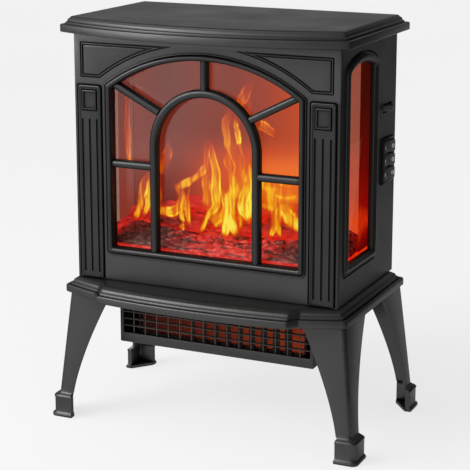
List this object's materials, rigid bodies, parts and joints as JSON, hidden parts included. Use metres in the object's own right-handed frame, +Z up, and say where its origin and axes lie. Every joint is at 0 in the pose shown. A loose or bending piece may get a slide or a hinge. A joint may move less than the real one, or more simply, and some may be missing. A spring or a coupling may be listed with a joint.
{
  "type": "electric fireplace",
  "caption": "Free-standing electric stove heater with a bowed top, arched glazed window, glowing flame and log effect, fan heater below and four splayed legs.",
  "frame": {"origin": "floor level, centre of the footprint", "axes": "+Z up; the front window faces -Y; the switches are on the +X side"},
  "size_m": [0.44, 0.278, 0.54],
  "materials": {
    "black_moulding": "fine-textured charcoal black, satin sheen on rounded edges",
    "black_sheet": "fine-textured black powder coat",
    "tinted_glass": "clear tempered glass that shows the warm firebox",
    "zinc_steel": "zinc-plated steel sheet and screws",
    "pad_rubber": "matt rubber",
    "firebox_black": "flat black",
    "flame_picture": "translucent screen with a glowing flame picture",
    "ember_resin": "translucent resin coals that glow red and orange",
    "log_resin": "resin bark, charred, lit from below",
    "circuit_board": "solder-masked laminate",
    "bright_foil": "bright reflective strip",
    "motor_metal": "plated motor can",
    "heater_ceramic": "finned aluminium with ceramic strips",
    "blower_alloy": "thin aluminium",
    "switch_black": "semi-gloss black plastic",
    "terminal_cream": "cream engineering plastic",
    "dimmer_blue": "blue component body",
    "wire_sleeve": "black heat-shrink sleeve"
  },
  "bodies": {
    "stove": {"top_cover": "black_moulding", "top_plate": "zinc_steel", "front_panel": "black_moulding", "window_frame": "black_moulding", "front_glass": "tinted_glass", "glass_clips": "zinc_steel", "left_panel": "black_sheet", "right_panel": "black_sheet", "left_window_frame": "black_moulding", "right_window_frame": "black_moulding", "left_glass": "tinted_glass", "right_glass": "tinted_glass", "back_panel": "black_sheet", "hearth_shelf": "black_moulding", "base_pan": "black_sheet", "leg_front_left": "black_moulding", "leg_front_right": "black_moulding", "leg_back_left": "black_moulding", "leg_back_right": "black_moulding", "foot_pads": "pad_rubber", "firebox_ceiling": "firebox_black", "flame_screen": "flame_picture", "flame_film": "flame_picture", "ember_bed": "ember_resin", "log_left": "log_resin", "log_right": "log_resin", "log_back": "log_resin", "ember_led_board": "circuit_board", "flame_led_board": "circuit_board", "spindle_motor": "motor_metal", "spindle_bracket": "zinc_steel", "heater_housing": "black_sheet", "heater_grille": "black_sheet", "heating_element": "heater_ceramic", "thermal_cutout": "heater_ceramic", "blower_scroll": "zinc_steel", "blower_motor": "motor_metal", "switch_bezel": "switch_black", "switch_bodies": "terminal_cream", "dimmer_body": "dimmer_blue", "control_board": "circuit_board", "terminal_block": "terminal_cream", "wiring_loom": "wire_sleeve", "cord_gland": "switch_black", "back_screws": "zinc_steel", "top_screws": "zinc_steel", "leg_screws": "zinc_steel", "heater_screws": "zinc_steel"},
    "flame_spindle": {"flame_spindle": "bright_foil"},
    "blower_wheel": {"blower_wheel": "blower_alloy"},
    "rocker_flame": {"rocker_flame": "switch_black"},
    "rocker_low_heat": {"rocker_low_heat": "switch_black"},
    "rocker_high_heat": {"rocker_high_heat": "switch_black"},
    "dimmer_wheel": {"dimmer_wheel": "switch_black"}
  },
  "joints": [
    {"name": "rocker_flame_tilt", "type": "hinge", "parent": "stove", "child": "rocker_flame", "pos_m": [0.179, 0.086, 0.3695], "axis": [0, 0, 1], "range_deg": [0, 16]},
    {"name": "rocker_low_heat_tilt", "type": "hinge", "parent": "stove", "child": "rocker_low_heat", "pos_m": [0.179, 0.086, 0.3515], "axis": [0, 0, 1], "range_deg": [0, 16]},
    {"name": "rocker_high_heat_tilt", "type": "hinge", "parent": "stove", "child": "rocker_high_heat", "pos_m": [0.179, 0.086, 0.3335], "axis": [0, 0, 1], "range_deg": [0, 16]},
    {"name": "dimmer_turn", "type": "hinge", "parent": "stove", "child": "dimmer_wheel", "pos_m": [0.175, 0.0845, 0.4215], "axis": [0, 0, 1], "range_deg": [0, 270]},
    {"name": "spindle_turn", "type": "hinge", "parent": "stove", "child": "flame_spindle", "pos_m": [0, 0.081, 0.25], "axis": [1, 0, 0], "continuous": true},
    {"name": "blower_turn", "type": "hinge", "parent": "stove", "child": "blower_wheel", "pos_m": [0, 0.037, 0.135], "axis": [1, 0, 0], "continuous": true}
  ]
}
